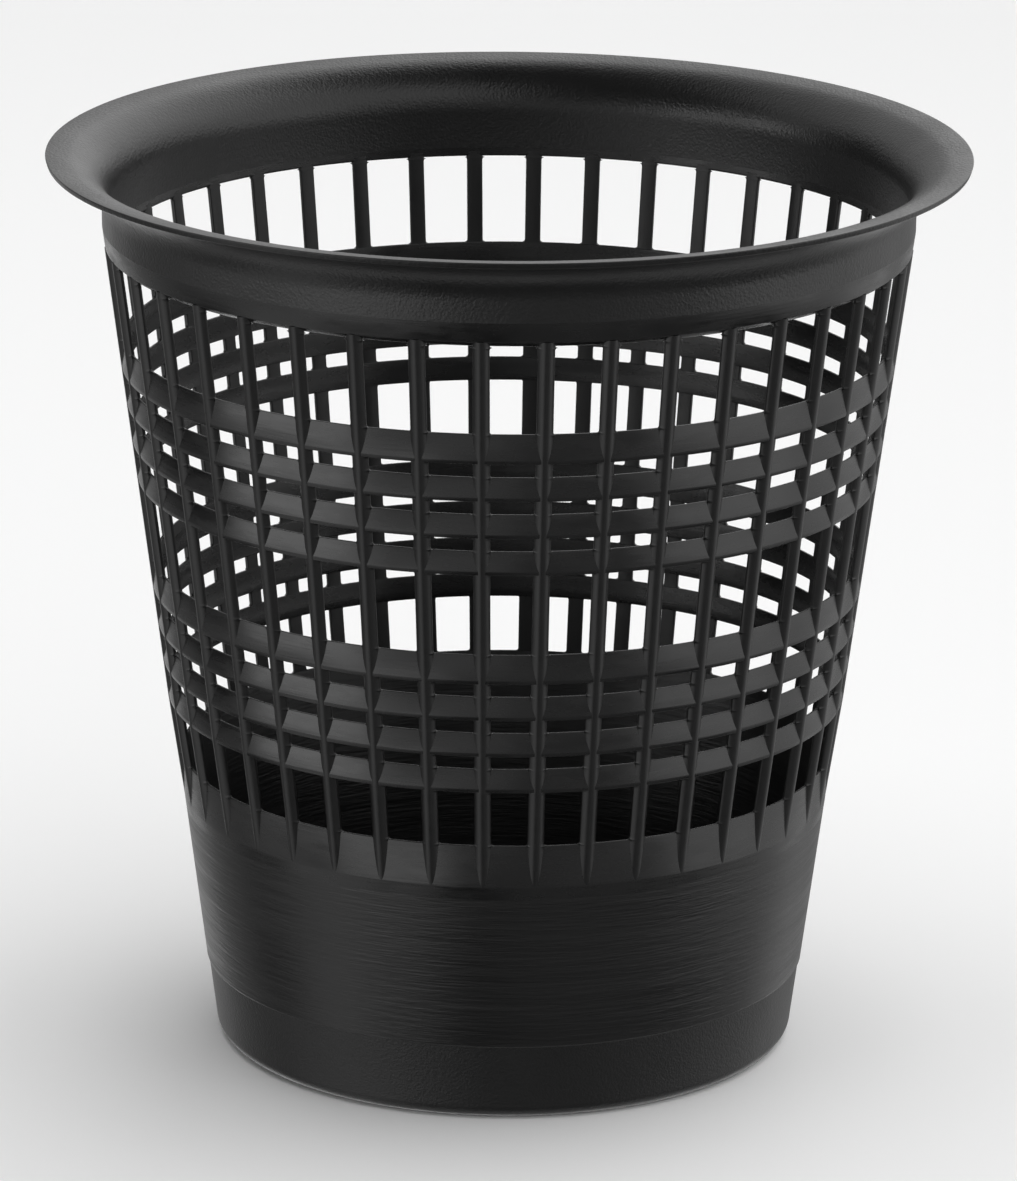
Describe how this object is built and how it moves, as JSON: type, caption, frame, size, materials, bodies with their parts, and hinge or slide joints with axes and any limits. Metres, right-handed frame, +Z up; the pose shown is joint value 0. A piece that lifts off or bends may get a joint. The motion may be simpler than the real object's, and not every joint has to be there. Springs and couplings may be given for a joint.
{
  "type": "waste basket",
  "caption": "round tapered open-work waste basket with a flared rim, upright ribs crossed by two groups of hoops, and a solid base",
  "frame": {"origin": "centre of the underside, where the basket stands on the floor", "axes": "+Z up along the basket's axis; -Y faces the viewer; every side is alike"},
  "size_m": [0.309, 0.309, 0.3068],
  "materials": {
    "grained_plastic": "fine grain, moulded polypropylene",
    "lattice_plastic": "satin, moulded polypropylene"
  },
  "bodies": {
    "root": {"rim_flare": "grained_plastic", "collar": "grained_plastic", "base_wall": "grained_plastic", "floor_pan": "grained_plastic", "hoop_1": "lattice_plastic", "hoop_2": "lattice_plastic", "hoop_3": "lattice_plastic", "hoop_4": "lattice_plastic", "hoop_5": "lattice_plastic", "hoop_6": "lattice_plastic", "hoop_7": "lattice_plastic", "hoop_8": "lattice_plastic", "rib_01": "lattice_plastic", "rib_02": "lattice_plastic", "rib_03": "lattice_plastic", "rib_04": "lattice_plastic", "rib_05": "lattice_plastic", "rib_06": "lattice_plastic", "rib_07": "lattice_plastic", "rib_08": "lattice_plastic", "rib_09": "lattice_plastic", "rib_10": "lattice_plastic", "rib_11": "lattice_plastic", "rib_12": "lattice_plastic", "rib_13": "lattice_plastic", "rib_14": "lattice_plastic", "rib_15": "lattice_plastic", "rib_16": "lattice_plastic", "rib_17": "lattice_plastic", "rib_18": "lattice_plastic", "rib_19": "lattice_plastic", "rib_20": "lattice_plastic", "rib_21": "lattice_plastic", "rib_22": "lattice_plastic", "rib_23": "lattice_plastic", "rib_24": "lattice_plastic", "rib_25": "lattice_plastic", "rib_26": "lattice_plastic", "rib_27": "lattice_plastic", "rib_28": "lattice_plastic", "rib_29": "lattice_plastic", "rib_30": "lattice_plastic", "rib_31": "lattice_plastic", "rib_32": "lattice_plastic", "rib_33": "lattice_plastic", "rib_34": "lattice_plastic", "rib_35": "lattice_plastic", "rib_36": "lattice_plastic", "rib_37": "lattice_plastic", "rib_38": "lattice_plastic", "rib_39": "lattice_plastic", "rib_40": "lattice_plastic"}
  },
  "joints": []
}
